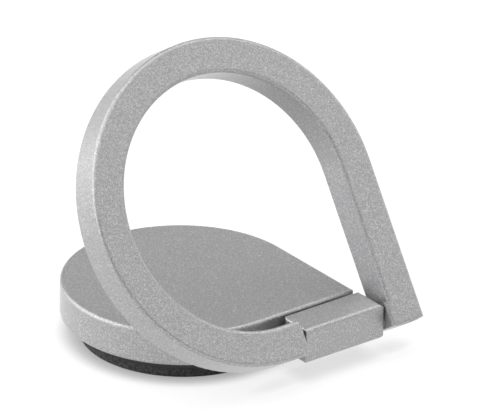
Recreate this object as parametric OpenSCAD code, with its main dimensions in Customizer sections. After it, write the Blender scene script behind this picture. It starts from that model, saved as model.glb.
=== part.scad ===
// Drop-shaped ring holder for the back of a phone. Millimetres, +Z up.
// The origin is the middle of the adhesive pad's underside. The foot sticks to the phone, the
// drop-shaped plate swivels on it about Z, and the ring swings about a pin along X in the plate's lug.
// The plate and the folded ring share one outline: three quarters of a circle and a square corner
// towards +X and -Y. The lug fills the gap in the ring's lower bar.

/* [Plate] */
// Radius of the plate's round side
plate_r = 13.25; // [10:0.25:24]
// Rounding of the plate's upright corner edge
plate_corner_r = 0.3; // [0.2:0.1:2]

/* [Ring] */
// Width of the ring's band, seen from above when folded
band_w = 3.9; // [3:0.05:5]
// Thickness of the ring, and of the plate and lug that lie flush with it
band_t = 4.05; // [3.4:0.05:5]
// Rounding of the long edges
edge_r = 0.4; // [0.1:0.05:0.8]
// Angle that the ring stands open at, from folded flat
open_angle = 57; // [0:1:180]
// Extra thickness of the leg's ear, which takes the pin
ear_t = 0.36; // [0.2:0.02:0.6]
// Distance from the pin's axis along the leg over which the ear keeps its full thickness
ear_up = 1.6; // [0.5:0.1:2.5]
// Radius of the two bends by which the leg widens to its ear
ear_bend_r = 3; // [1.5:0.5:6]
// Radius of the leg's slightly convex end
leg_end_r = 11; // [8:0.5:40]
// Rounding of the short bar's upright outer edge beside the lug
bar_outer_r = 0.45; // [0.1:0.05:1]
// Rounding of the short bar's upright inner edge beside the lug
bar_inner_r = 1.0; // [0.1:0.05:1.3]

/* [Hinge] */
// Distance from the bar's outer face in to the pin's axis
pin_in = 1.1; // [1:0.05:1.6]
// Height of the pin's axis above the bar's underside
pin_up = 1.6; // [1.2:0.05:1.9]
// Diameter of the hinge pin
pin_d = 1.2; // [0.8:0.1:1.5]
// Depth that the pin is pressed into the short end of the bar
pin_grip = 4; // [2:0.5:6]
// Depth of the pin's end below the leg's outer face
pin_sink = 0.15; // [0:0.05:0.5]
// Chamfer on the pin's ends
pin_chamfer = 0.12; // [0:0.02:0.25]
// Length of the lug along the pin
lug_len = 10.65; // [6:0.05:11.5]
// Width of the groove between the plate and the lug
groove_w = 0.5; // [0.3:0.05:0.8]
// Rounding of the lug's upper and lower edges beside the bar
lug_left_r = 0.25; // [0.1:0.05:1]
// Rounding of the lug's upper and lower edges beside the leg
lug_right_r = 0.7; // [0.1:0.05:1]
// Rounding of the lug's upright outer edges
lug_outer_r = 0.15; // [0.1:0.05:0.8]
// Rounding of the lug's upright edges next to the plate
lug_inner_r = 0.9; // [0.1:0.05:1.2]
// Thickness of the web that joins the lug to the plate under the groove
web_t = 1.3; // [0.8:0.1:2]
// Height of the web's underside above the plate's
web_inset = 0.3; // [0.1:0.05:0.6]
// Thickness of the left friction washer, between the short bar and the lug
left_washer_t = 0.35; // [0.1:0.01:0.4]
// Thickness of the right friction washer, between the lug and the leg's ear
right_washer_t = 0.1; // [0.08:0.01:0.3]
// Outer diameter of a friction washer
washer_d = 2.0; // [1.7:0.1:2.2]

/* [Foot] */
// Radius of the base disc
foot_r = 11.2; // [9.8:0.1:13]
// Thickness of the base disc
base_t = 1.3; // [1.2:0.05:2.5]
// Rounding of the base disc's lower edge
base_edge_r = 0.15; // [0.05:0.05:0.4]
// Thickness of the adhesive pad
pad_t = 0.95; // [0.5:0.05:2]
// Step from the base disc's edge in to the adhesive pad's
pad_step = 0.1; // [0:0.05:1]
// Gap that shows between the base disc and the plate
foot_gap = 0.1; // [0.05:0.05:0.5]

/* [Swivel] */
// Radius of the slip washer between the base disc and the plate
slip_r = 9.4; // [7:0.1:9.6]
// Thickness of the slip washer
slip_t = 0.45; // [0.3:0.05:0.8]
// Diameter of the pivot screw's shoulder
shoulder_d = 3.5; // [3:0.1:5]
// Diameter of the pivot screw's thread
thread_d = 2.5; // [2:0.1:2.8]
// Length of the pivot screw's thread
thread_len = 2.0; // [1.5:0.1:2.2]
// Diameter of the pivot screw's head
head_d = 6.8; // [6:0.1:9]
// Thickness of the pivot screw's head
head_t = 0.5; // [0.4:0.05:0.6]
// Depth of the screw's head inside the base disc
head_sink = 0.1; // [0.05:0.05:0.2]
// Width of the screw's cross recess
drive_w = 0.6; // [0.4:0.05:1]
// Length of the screw's cross recess
drive_len = 3.2; // [2:0.1:4]
// Depth of the screw's cross recess
drive_depth = 0.3; // [0.1:0.05:0.35]
// Outer diameter of the wave washer
wave_d = 6.2; // [5:0.1:6.6]
// Height of the wave washer as fitted
wave_h = 0.3; // [0.2:0.02:0.35]
// Thickness of the wave washer's strip
wave_strip = 0.15; // [0.1:0.01:0.18]

/* [Clearances] */
// Room for the bar's corner as it swings past the plate
swing_clear = 0.1; // [0.05:0.05:0.5]
// Radial clearance of the pin in the lug
pin_clear = 0.03; // [0.02:0.01:0.08]
// Radial interference of the pin in the ring
pin_press = 0.01; // [0:0.005:0.02]
// End play between a friction washer and the lug
washer_play = 0.03; // [0.02:0.01:0.1]
// Radial clearance of the shoulder in the base disc
shoulder_clear = 0.05; // [0.02:0.01:0.1]
// Radial clearance round the washers and the screw's head
loose_clear = 0.2; // [0.1:0.05:0.3]
// Radial clearance of the screw's thread in the plate
thread_clear = 0.01; // [0:0.005:0.02]
// Depth left free beyond the screw's end
thread_room = 0.4; // [0.2:0.1:0.5]
// End play between the wave washer and the screw's head
wave_play = 0.01; // [0:0.005:0.03]

/* [Hidden] */

// Colours
silver = [0.66, 0.66, 0.67];
steel = [0.75, 0.76, 0.78];
nylon = [0.85, 0.84, 0.80];
black_plastic = [0.09, 0.09, 0.10];
black_foam = [0.05, 0.05, 0.055];

// Smoothness of large arcs, small arcs and the wave washer
fine = 180;
small = 48;
wave_steps = 96;
waves = 3;
// Reach of a cutter past the face that it opens
over = 1;

// The gap round the plate is what the bar's round inner corner needs to swing past the plate's side
bar_reach = band_w - pin_in;
bar_rise = max(band_t - pin_up, pin_up);
swing_r = sqrt(pow(bar_reach - edge_r, 2) + pow(bar_rise - edge_r, 2)) + edge_r;
ring_gap = swing_r - bar_reach + swing_clear;
ring_ri = plate_r + ring_gap;
ring_ro = ring_ri + band_w;

// Heights from the phone upwards
base_z = pad_t;
slip_z = base_z + base_t;
plate_z = slip_z + foot_gap;
seat_z = slip_z + slip_t;

// Hinge axis, and the places along it from the leg's ear leftwards
hinge_y = -(ring_ro - pin_in);
hinge_z = plate_z + pin_up;
ear_x = ring_ri - ear_t;
lug_x1 = ear_x - right_washer_t - washer_play;
lug_x0 = lug_x1 - lug_len;
bar_end = lug_x0 - left_washer_t - washer_play;
pin_x0 = bar_end - pin_grip;
pin_x1 = ring_ro - pin_sink;

// The ear's end along the leg, the turn of each of its two bends, and their end on the leg's wall
ear_y = hinge_y + ear_up;
ear_turn = acos(1 - ear_t / (2 * ear_bend_r));
ear_end_y = ear_y + 2 * ear_bend_r * sin(ear_turn);
// How far the middle of the leg's convex end stands out past its corners
end_rise = leg_end_r - sqrt(pow(leg_end_r, 2) - pow((ring_ro - ear_x) / 2, 2));

// Pivot screw, from its head upwards
head_z = base_z + head_sink;
wave_z = head_z + head_t + wave_play;
floor_z = wave_z + wave_h;

// Rectangle with round corners, from its lower left corner
module rounded_rect(w, h, r) {
    translate([r, 0]) square([w - 2 * r, h]);
    translate([0, r]) square([w, h - 2 * r]);
    for (x = [r, w - r], y = [r, h - r])
        translate([x, y]) circle(r, $fn = small);
}

// Block with round edges, from its lowest corner: the common part of rounded prisms along the axes.
// Its upright edges are rounded by front_r towards -Y and by back_r at the back. The edges along Y
// are rounded by left_r at its left end and by right_r at its right one.
module rounded_block(size, front_r, back_r, left_r = edge_r, right_r = edge_r) {
    run_on = front_r + back_r + left_r + right_r;
    intersection() {
        linear_extrude(size.z) rounded_rect(size.x, size.y + run_on, front_r);
        translate([0, -run_on, 0]) linear_extrude(size.z) rounded_rect(size.x, size.y + run_on, back_r);
        translate([0, size.y, 0]) rotate([90, 0, 0])
            linear_extrude(size.y) rounded_rect(size.x + run_on, size.z, left_r);
        translate([-run_on, size.y, 0]) rotate([90, 0, 0])
            linear_extrude(size.y) rounded_rect(size.x + run_on, size.z, right_r);
        rotate([90, 0, 90])
            linear_extrude(size.x) rounded_rect(size.y, size.z, edge_r);
    }
}

// Block from low to high whose round edges run on, cut flat, on the sides that join the next form
module joined_block(low, high, front_r = edge_r, back_r = edge_r, left = false, front = false,
    back = false) {
    run_on = max(front_r, back_r) + over;
    more_left = left ? run_on : 0;
    more_front = front ? run_on : 0;
    more_back = back ? run_on : 0;
    size = [high.x - low.x, high.y - low.y, band_t];
    more = [more_left, more_front + more_back, 0];
    translate([low.x, low.y, 0])
        intersection() {
            translate([-more_left, -more_front, 0]) rounded_block(size + more, front_r, back_r);
            cube(size);
        }
}

// Half section of a disc as thick as the band, with round edges
module disc_profile(r) {
    square([r - edge_r, band_t]);
    translate([0, edge_r]) square([r, band_t - 2 * edge_r]);
    for (z = [edge_r, band_t - edge_r])
        translate([r - edge_r, z]) circle(edge_r, $fn = small);
}

// Turns the folded ring and what rides with it up to its open angle
module swung_open() {
    translate([0, hinge_y, hinge_z]) rotate([open_angle, 0, 0]) translate([0, -hinge_y, -hinge_z])
        children();
}

// Cylinder along the hinge axis
module along_hinge(x0, x1, r) {
    translate([x0, hinge_y, hinge_z]) rotate([0, 90, 0]) cylinder(h = x1 - x0, r = r, $fn = small);
}

module adhesive_pad() {
    color(black_foam) cylinder(h = pad_t, r = foot_r - pad_step, $fn = fine);
}

// Black disc: bore for the shoulder, and a counterbore underneath for the head and wave washer
module base_disc() {
    color(black_plastic) translate([0, 0, base_z])
        difference() {
            rotate_extrude($fn = fine) {
                square([foot_r - base_edge_r, base_t]);
                translate([0, base_edge_r]) square([foot_r, base_t - base_edge_r]);
                translate([foot_r - base_edge_r, base_edge_r]) circle(base_edge_r, $fn = small);
            }
            translate([0, 0, -over])
                cylinder(h = base_t + 2 * over, d = shoulder_d + 2 * shoulder_clear, $fn = small);
            translate([0, 0, -over])
                cylinder(h = over + floor_z - base_z, d = head_d + 2 * loose_clear, $fn = fine);
        }
}

module slip_washer() {
    color(nylon) translate([0, 0, slip_z])
        difference() {
            cylinder(h = slip_t, r = slip_r, $fn = fine);
            translate([0, 0, -over])
                cylinder(h = slip_t + 2 * over, d = shoulder_d + 2 * loose_clear, $fn = small);
        }
}

// Spring steel strip whose height follows a sine wave round the shoulder
module wave_washer() {
    radii = [shoulder_d / 2 + loose_clear, wave_d / 2];
    lift = (wave_h - wave_strip) / 2;
    step = 360 / wave_steps;
    points = [for (i = [0 : wave_steps - 1])
        for (level = [0, wave_strip])
            for (r = radii)
                [r * cos(i * step), r * sin(i * step), level + lift * (1 + sin(i * step * waves))]];
    // The strip's section as corner numbers, in order round it
    section = [0, 1, 3, 2];
    faces = [for (i = [0 : wave_steps - 1])
        for (k = [0 : 3])
            let (a = 4 * i, b = 4 * ((i + 1) % wave_steps), p = section[k], q = section[(k + 1) % 4])
                each [[a + p, a + q, b + q], [a + p, b + q, b + p]]];
    color(steel) translate([0, 0, wave_z]) polyhedron(points, faces, convexity = 4);
}

// Shoulder screw from below: the head turns in the base disc and the shoulder stops on the plate
module pivot_screw() {
    color(steel)
        difference() {
            union() {
                translate([0, 0, head_z]) cylinder(h = head_t, d = head_d, $fn = fine);
                translate([0, 0, head_z]) cylinder(h = seat_z - head_z, d = shoulder_d, $fn = small);
                translate([0, 0, head_z])
                    cylinder(h = seat_z + thread_len - head_z, d = thread_d, $fn = small);
            }
            for (turn = [0, 90])
                rotate(turn) translate([-drive_len / 2, -drive_w / 2, head_z - over])
                    cube([drive_len, drive_w, over + drive_depth]);
        }
}

// One casting: the drop-shaped plate, the lug and the web that joins them below the groove
module drop_plate() {
    lug_w = ring_ro - plate_r - groove_w;
    color(silver)
        difference() {
            union() {
                translate([0, 0, plate_z]) {
                    rotate_extrude(angle = 270, $fn = fine) disc_profile(plate_r);
                    joined_block([0, -plate_r], [plate_r, 0], plate_corner_r, left = true, back = true);
                    translate([lug_x0, -ring_ro, 0])
                        rounded_block([lug_len, lug_w, band_t], lug_outer_r, lug_inner_r,
                            lug_left_r, lug_right_r);
                }
                translate([lug_x0 + lug_inner_r, lug_w - ring_ro - edge_r, plate_z + web_inset])
                    cube([plate_r - edge_r - lug_x0 - lug_inner_r, groove_w + 2 * edge_r, web_t]);
            }
            along_hinge(lug_x0 - over, lug_x1 + over, pin_d / 2 + pin_clear);
            translate([0, 0, plate_z - over])
                cylinder(h = over + seat_z - plate_z, r = slip_r + loose_clear, $fn = fine);
            translate([0, 0, plate_z])
                cylinder(h = seat_z - plate_z + thread_len + thread_room,
                    d = thread_d + 2 * thread_clear, $fn = small);
        }
}

// Pressed into the ring at both ends, free to turn in the lug
module hinge_pin() {
    r = pin_d / 2;
    len = pin_x1 - pin_x0;
    color(steel) swung_open()
        translate([pin_x0, hinge_y, hinge_z]) rotate([0, 90, 0])
            rotate_extrude($fn = small)
                polygon([[0, 0], [r - pin_chamfer, 0], [r, pin_chamfer], [r, len - pin_chamfer],
                    [r - pin_chamfer, len], [0, len]]);
}

module friction_washer(x, thickness) {
    color(steel) swung_open()
        difference() {
            along_hinge(x, x + thickness, washer_d / 2);
            along_hinge(x - over, x + thickness + over, pin_d / 2 + pin_clear);
        }
}

module left_friction_washer() {
    friction_washer(bar_end, left_washer_t);
}

module right_friction_washer() {
    friction_washer(ear_x - right_washer_t, right_washer_t);
}

// Thicker end of the leg: a block with a convex end, then an S of two equal bends up to the leg's wall
module leg_ear() {
    inside = ring_ri + band_w / 2;
    low_y = -ring_ro - end_rise;
    intersection() {
        joined_block([ear_x, low_y], [ring_ro, ear_y], back = true);
        translate([(ear_x + ring_ro) / 2, low_y + leg_end_r, 0])
            rotate_extrude($fn = fine) disc_profile(leg_end_r);
    }
    translate([ear_x + ear_bend_r, ear_y, 0]) rotate(180 - ear_turn)
        rotate_extrude(angle = ear_turn, $fn = fine) disc_profile(ear_bend_r);
    translate([ring_ri - ear_bend_r, ear_end_y, 0]) rotate(-ear_turn)
        rotate_extrude(angle = ear_turn, $fn = fine)
            translate([ear_bend_r, 0]) rounded_rect(inside - ring_ri, band_t, edge_r);
}

// Three quarters of a circle, a leg down to the square corner, and the short end of the lower bar
module ring() {
    color(silver) swung_open()
        difference() {
            translate([0, 0, plate_z]) {
                rotate_extrude(angle = 270, $fn = fine)
                    translate([ring_ri, 0]) rounded_rect(band_w, band_t, edge_r);
                joined_block([ring_ri, hinge_y], [ring_ro, 0], front = true, back = true);
                leg_ear();
                joined_block([0, -ring_ro], [bar_end, -ring_ri], bar_outer_r, bar_inner_r, left = true);
            }
            along_hinge(pin_x0, bar_end + over, pin_d / 2 - pin_press);
            along_hinge(ear_x - over, ring_ro + over, pin_d / 2 - pin_press);
        }
}

adhesive_pad();
base_disc();
slip_washer();
wave_washer();
pivot_screw();
drop_plate();
hinge_pin();
left_friction_washer();
right_friction_washer();
ring();
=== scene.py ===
import math

import bpy
from mathutils import Matrix, Vector


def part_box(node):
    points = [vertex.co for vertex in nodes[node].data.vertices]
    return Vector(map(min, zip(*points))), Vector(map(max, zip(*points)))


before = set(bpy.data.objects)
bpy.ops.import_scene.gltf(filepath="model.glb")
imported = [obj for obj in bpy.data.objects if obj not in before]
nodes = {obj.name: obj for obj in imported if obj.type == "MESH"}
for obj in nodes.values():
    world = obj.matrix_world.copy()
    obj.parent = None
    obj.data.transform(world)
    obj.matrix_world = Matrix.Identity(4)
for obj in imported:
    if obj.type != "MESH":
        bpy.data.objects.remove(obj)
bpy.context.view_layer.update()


# Adhesive pad: a disc of black double-sided foam tape that sticks the foot to the phone.
# Closed-cell foam, punched from the roll, so its rim shows cut cells and its face is even.
MM = 0.001
MIDDLE_TONE = 0.5
LOW_TONE = 0.3
HIGH_TONE = 0.7
FINER_GRAINS = 2.3
COARSE_SHARE = 0.6
FINER_SHARE = 0.4


def new_group(name, inputs, outputs):
    group = bpy.data.node_groups.new(name, "ShaderNodeTree")
    for socket, kind, value in inputs:
        made = group.interface.new_socket(socket, in_out="INPUT", socket_type=kind)
        if value is not None:
            made.default_value = value
    for socket, kind in outputs:
        group.interface.new_socket(socket, in_out="OUTPUT", socket_type=kind)
    return group, group.nodes.new("NodeGroupInput"), group.nodes.new("NodeGroupOutput")


def maths(tree, operation, a, b=0.0):
    node = tree.nodes.new("ShaderNodeMath")
    node.operation = operation
    for socket, value in zip(node.inputs, (a, b)):
        if isinstance(value, bpy.types.NodeSocket):
            tree.links.new(value, socket)
        else:
            socket.default_value = value
    return node.outputs[0]


def noise(tree, vector, scale, detail):
    node = tree.nodes.new("ShaderNodeTexNoise")
    node.inputs["Detail"].default_value = detail
    tree.links.new(vector, node.inputs["Vector"])
    if isinstance(scale, bpy.types.NodeSocket):
        tree.links.new(scale, node.inputs["Scale"])
    else:
        node.inputs["Scale"].default_value = scale
    return node.outputs["Fac"]


# Fine blasted or moulded grain. Grains per metre go in, and a tone round 0.5 and a height come out.
grain, grain_in, grain_out = new_group(
    "fine_grain",
    [("Vector", "NodeSocketVector", None), ("Grains", "NodeSocketFloat", 5000.0)],
    [("Tone", "NodeSocketFloat"), ("Height", "NodeSocketFloat")])
coarse = noise(grain, grain_in.outputs["Vector"], grain_in.outputs["Grains"], detail=2.0)
finer_grains = maths(grain, "MULTIPLY", grain_in.outputs["Grains"], FINER_GRAINS)
finer = noise(grain, grain_in.outputs["Vector"], finer_grains, detail=1.0)
height = maths(grain, "ADD", maths(grain, "MULTIPLY", coarse, COARSE_SHARE),
               maths(grain, "MULTIPLY", finer, FINER_SHARE))
grain.links.new(height, grain_out.inputs["Height"])
grain.links.new(coarse, grain_out.inputs["Tone"])


def new_material(name, metallic, specular=0.5):
    material = bpy.data.materials.new(name)
    material.use_nodes = True
    shader = material.node_tree.nodes["Principled BSDF"]
    shader.inputs["Metallic"].default_value = metallic
    shader.inputs["Specular IOR Level"].default_value = specular
    coords = material.node_tree.nodes.new("ShaderNodeTexCoord")
    return material, material.node_tree, shader, coords.outputs["Object"]


def add_group(tree, group, vector, **values):
    node = tree.nodes.new("ShaderNodeGroup")
    node.node_tree = group
    tree.links.new(vector, node.inputs["Vector"])
    for name, value in values.items():
        node.inputs[name].default_value = value
    return node


def tint(tree, shader, factor, dark, light, spread=0.2):
    ramp = tree.nodes.new("ShaderNodeValToRGB")
    ramp.color_ramp.elements[0].position = MIDDLE_TONE - spread
    ramp.color_ramp.elements[0].color = (*dark, 1)
    ramp.color_ramp.elements[1].position = MIDDLE_TONE + spread
    ramp.color_ramp.elements[1].color = (*light, 1)
    tree.links.new(factor, ramp.inputs["Fac"])
    tree.links.new(ramp.outputs["Color"], shader.inputs["Base Color"])
    return ramp.color_ramp


def rough(tree, shader, factor, low, high):
    spread = tree.nodes.new("ShaderNodeMapRange")
    spread.inputs["From Min"].default_value = LOW_TONE
    spread.inputs["From Max"].default_value = HIGH_TONE
    spread.inputs["To Min"].default_value = low
    spread.inputs["To Max"].default_value = high
    tree.links.new(factor, spread.inputs["Value"])
    tree.links.new(spread.outputs["Result"], shader.inputs["Roughness"])


def raise_bump(tree, shader, height, depth):
    bump = tree.nodes.new("ShaderNodeBump")
    bump.inputs["Strength"].default_value = 1.0
    bump.inputs["Distance"].default_value = depth
    tree.links.new(height, bump.inputs["Height"])
    tree.links.new(bump.outputs["Normal"], shader.inputs["Normal"])


def finish_with(material, *names):
    for name in names:
        for slot in nodes[name].material_slots:
            slot.material = material


foam, tree, shader, place = new_material("cut_foam", metallic=0.0, specular=0.3)
cells = add_group(tree, grain, place, Grains=3200.0)
tint(tree, shader, cells.outputs["Tone"],
     dark=(0.036, 0.036, 0.038), light=(0.082, 0.082, 0.085), spread=0.12)
rough(tree, shader, cells.outputs["Tone"], low=0.8, high=0.95)
raise_bump(tree, shader, cells.outputs["Height"], depth=0.06 * MM)
finish_with(foam, "adhesive_pad")


# Base disc: the black plate that the holder turns on. Moulded in black nylon with a satin face,
# bored for the screw's shoulder and counterbored underneath for its head.
black_and_painted_shade, tree, shader, place = new_material("black_nylon_and_painted_shade", metallic=0.0)
skin = add_group(tree, grain, place, Grains=5200.0)
# The disc's black is set darker than the foam's. This is partly the nylon's own black and partly
# painted shade from the plate that overhangs its rim.
tint(tree, shader, skin.outputs["Tone"], dark=(0.01, 0.01, 0.011), light=(0.022, 0.022, 0.023))
rough(tree, shader, skin.outputs["Tone"], low=0.38, high=0.55)
raise_bump(tree, shader, skin.outputs["Height"], depth=0.02 * MM)
finish_with(black_and_painted_shade, "base_disc")


# Slip washer: a thin washer of natural nylon in the plate's recess, which the plate slides on.
# Punched from sheet, so both faces are smooth and slightly waxy.
nylon, tree, shader, place = new_material("natural_nylon", metallic=0.0, specular=0.4)
wax = add_group(tree, grain, place, Grains=900.0)
tint(tree, shader, wax.outputs["Tone"], dark=(0.62, 0.6, 0.54), light=(0.72, 0.7, 0.64))
rough(tree, shader, wax.outputs["Tone"], low=0.4, high=0.5)
raise_bump(tree, shader, wax.outputs["Height"], depth=0.01 * MM)
finish_with(nylon, "slip_washer")


# Wave washer and pivot screw: sprung steel under a turned steel shoulder screw, on the swivel axis.
# The lathe and the rolling leave fine marks round that axis.
SQUARED = 2.0

# Fine marks round the Z axis. Marks per metre go in, and a tone round 0.5 and a height come out.
turned, turned_in, turned_out = new_group(
    "turned_marks",
    [("Vector", "NodeSocketVector", None), ("Marks", "NodeSocketFloat", 20000.0)],
    [("Tone", "NodeSocketFloat"), ("Height", "NodeSocketFloat")])
split = turned.nodes.new("ShaderNodeSeparateXYZ")
turned.links.new(turned_in.outputs["Vector"], split.inputs[0])
radius = maths(turned, "SQRT", maths(turned, "ADD", maths(turned, "POWER", split.outputs["X"], SQUARED),
                                     maths(turned, "POWER", split.outputs["Y"], SQUARED)))
flat = turned.nodes.new("ShaderNodeCombineXYZ")
turned.links.new(radius, flat.inputs["X"])
turned.links.new(split.outputs["Z"], flat.inputs["Y"])
marks = noise(turned, flat.outputs[0], turned_in.outputs["Marks"], detail=3.0)
turned.links.new(marks, turned_out.inputs["Tone"])
turned.links.new(marks, turned_out.inputs["Height"])

steel, tree, shader, place = new_material("turned_steel", metallic=1.0)
lathe = add_group(tree, turned, place, Marks=16000.0)
tint(tree, shader, lathe.outputs["Tone"], dark=(0.5, 0.5, 0.51), light=(0.62, 0.62, 0.63))
rough(tree, shader, lathe.outputs["Tone"], low=0.24, high=0.36)
raise_bump(tree, shader, lathe.outputs["Height"], depth=0.004 * MM)
finish_with(steel, "wave_washer", "pivot_screw")


# Drop plate: one casting with the hinge lug and the web between them, tumbled so its edges are soft.
# Blasted with fine beads and lacquered in satin silver with a few brighter flakes, clear on top, so
# walls that are seen at a low angle shine more than the faces.
FLAKES = 5600.0
PLACES_WITHOUT_FLAKE = 0.78
FLAKE_REACH = 0.4
FLAKE_SILVER = (0.57, 0.57, 0.578)
silver, tree, shader, place = new_material("blasted_silver", metallic=1.0)
blast = add_group(tree, grain, place, Grains=7000.0)
cell = tree.nodes.new("ShaderNodeTexVoronoi")
cell.inputs["Scale"].default_value = FLAKES
tree.links.new(place, cell.inputs["Vector"])
chance = tree.nodes.new("ShaderNodeSeparateColor")
tree.links.new(cell.outputs["Color"], chance.inputs["Color"])
flake = maths(tree, "MULTIPLY",
              maths(tree, "GREATER_THAN", chance.outputs["Red"], PLACES_WITHOUT_FLAKE),
              maths(tree, "LESS_THAN", cell.outputs["Distance"], FLAKE_REACH))
silvers = tint(tree, shader, maths(tree, "MAXIMUM", blast.outputs["Tone"], flake),
               dark=(0.305, 0.305, 0.309), light=(0.465, 0.465, 0.472), spread=0.11)
silvers.elements.new(1.0).color = (*FLAKE_SILVER, 1)
rough(tree, shader, blast.outputs["Tone"], low=0.48, high=0.6)
raise_bump(tree, shader, blast.outputs["Height"], depth=0.014 * MM)
shader.inputs["Coat Weight"].default_value = 1.0
shader.inputs["Coat Roughness"].default_value = 0.28
finish_with(silver, "drop_plate")


# Hinge pin and its two friction washers: ground steel along the hinge, pressed into the ring.
# The pin's end shows in the leg's outer face.
QUARTER_TURN = math.pi / 2
PIN_LOW, PIN_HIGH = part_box("hinge_pin")
pin_middle = (PIN_LOW + PIN_HIGH) / 2
pin_steel, tree, shader, place = new_material("ground_steel", metallic=1.0)
along_pin = tree.nodes.new("ShaderNodeMapping")
along_pin.vector_type = "TEXTURE"
along_pin.inputs["Location"].default_value = pin_middle
along_pin.inputs["Rotation"].default_value = (0, QUARTER_TURN, 0)
tree.links.new(place, along_pin.inputs["Vector"])
ground = add_group(tree, turned, along_pin.outputs[0], Marks=22000.0)
tint(tree, shader, ground.outputs["Tone"], dark=(0.48, 0.48, 0.49), light=(0.6, 0.6, 0.61))
rough(tree, shader, ground.outputs["Tone"], low=0.22, high=0.34)
raise_bump(tree, shader, ground.outputs["Height"], depth=0.003 * MM)
finish_with(pin_steel, "hinge_pin", "left_friction_washer", "right_friction_washer")


# Ring: three quarters of a circle, a straight leg and the short end of the lower bar, cast in one
# piece and blasted with the plate, so it has the plate's finish.
finish_with(silver, "ring")


# Floor: a plain pale sheet that the foot rests on. The camera and reflections see it white where
# nothing shades it: the lamps light it a little, and a glow gives the rest. It keeps the lamps' shadow
# of the object, light and short. The glow is also painted darker where the object is within the painted
# shade's reach, a painted shadow that is darkest at the foot.
FLOOR_SIDE = 4.0
FLOOR_PALE = 0.8
SEEN_PALE = 0.2
SEEN_LIFT = 0.81
PAINTED_SHADE_REACH = 2.6 * MM
bpy.ops.mesh.primitive_plane_add(size=FLOOR_SIDE, location=(0, 0, 0))
floor = bpy.context.object
floor.name = "floor"
paper = bpy.data.materials.new("pale_paper")
paper.use_nodes = True
tree = paper.node_tree
tree.nodes.clear()
out = tree.nodes.new("ShaderNodeOutputMaterial")
ray = tree.nodes.new("ShaderNodeLightPath")
seen_or_mirrored = maths(tree, "MAXIMUM", ray.outputs["Is Camera Ray"], ray.outputs["Is Glossy Ray"])
seen = maths(tree, "MAXIMUM", seen_or_mirrored, ray.outputs["Is Transmission Ray"])
matt = tree.nodes.new("ShaderNodeBsdfDiffuse")
matt.inputs["Color"].default_value = (FLOOR_PALE, FLOOR_PALE, FLOOR_PALE, 1)
shaded = tree.nodes.new("ShaderNodeBsdfDiffuse")
shaded.inputs["Color"].default_value = (SEEN_PALE, SEEN_PALE, SEEN_PALE, 1)
# Painted shadow: the glow is dimmed by how near the object is, which draws the floor darker round the
# foot.
painted_contact_shade = tree.nodes.new("ShaderNodeAmbientOcclusion")
painted_contact_shade.inputs["Distance"].default_value = PAINTED_SHADE_REACH
lift = tree.nodes.new("ShaderNodeEmission")
tree.links.new(maths(tree, "MULTIPLY", painted_contact_shade.outputs["AO"], SEEN_LIFT), lift.inputs["Strength"])
both = tree.nodes.new("ShaderNodeAddShader")
tree.links.new(shaded.outputs[0], both.inputs[0])
tree.links.new(lift.outputs[0], both.inputs[1])
pick = tree.nodes.new("ShaderNodeMixShader")
tree.links.new(seen, pick.inputs["Fac"])
tree.links.new(matt.outputs[0], pick.inputs[1])
tree.links.new(both.outputs[0], pick.inputs[2])
tree.links.new(pick.outputs[0], out.inputs["Surface"])
floor.data.materials.append(paper)


# Light: six soft boxes and a pale room, each box named for its place as the camera sees it. The
# largest stands low on the left and lights the walls, and the others fill what it misses.
AIM = Vector((0, -3.7, 8.8)) * MM
BOX_DISTANCE = 0.6
ROOM_STRENGTH = 0.5


def softbox(name, azimuth, elevation, distance, size, strength):
    a, e = math.radians(azimuth), math.radians(elevation)
    towards = Vector((math.sin(a) * math.cos(e), -math.cos(a) * math.cos(e), math.sin(e)))
    light = bpy.data.lights.new(name, "AREA")
    light.shape = "SQUARE"
    light.size = size
    light.energy = strength
    box = bpy.data.objects.new(name, light)
    bpy.context.scene.collection.objects.link(box)
    box.matrix_world = (Matrix.Translation(AIM + towards * distance)
                        @ towards.to_track_quat("Z", "Y").to_matrix().to_4x4())


for name, azimuth, elevation, side, watts in (
        ("left_low_box", -128, 20, 1.0, 5.6),
        ("left_high_box", -125, 50, 0.7, 0.47),
        ("top_box", 0, 88, 0.7, 1.81),
        ("right_low_box", 45, 25, 0.7, 0.26),
        ("right_high_box", 50, 55, 0.7, 0.62),
        ("back_right_box", 90, 30, 0.7, 1.02)):
    softbox(name, azimuth, elevation, BOX_DISTANCE, side, watts)
world = bpy.data.worlds.new("pale_room")
bpy.context.scene.world = world
world.use_nodes = True
room = world.node_tree.nodes["Background"]
room.inputs["Color"].default_value = (1, 1, 1, 1)
room.inputs["Strength"].default_value = ROOM_STRENGTH


# Camera: a long lens from the front left and above, at the photograph's angle, frame and small roll.
# Nothing is shifted or out of focus.
VIEW_AZIMUTH = math.radians(-38.02)
VIEW_ELEVATION = math.radians(26.0)
VIEW_ROLL = math.radians(0.75)
VIEW_DISTANCE = 1.104
VIEW_TARGET = Vector((0, -3.6806, 8.8333)) * MM
FRAME_CENTRE = (3.966 * MM, 6.651 * MM)
back = Vector((math.sin(VIEW_AZIMUTH) * math.cos(VIEW_ELEVATION),
               -math.cos(VIEW_AZIMUTH) * math.cos(VIEW_ELEVATION), math.sin(VIEW_ELEVATION)))
level = Vector((math.cos(VIEW_AZIMUTH), math.sin(VIEW_AZIMUTH), 0))
right = Matrix.Rotation(VIEW_ROLL, 3, back) @ level
up = back.cross(right)
middle = VIEW_TARGET + right * FRAME_CENTRE[0] + up * FRAME_CENTRE[1]
eye = middle + back * VIEW_DISTANCE
lens = bpy.data.cameras.new("camera")
lens.sensor_width = 36.0
lens.lens = 768.0
lens.clip_start = 0.1
lens.clip_end = 10.0
camera = bpy.data.objects.new("camera", lens)
bpy.context.scene.collection.objects.link(camera)
camera.matrix_world = Matrix((right, up, back)).transposed().to_4x4()
camera.matrix_world.translation = eye
bpy.context.scene.camera = camera
bpy.context.scene.view_settings.view_transform = "Standard"
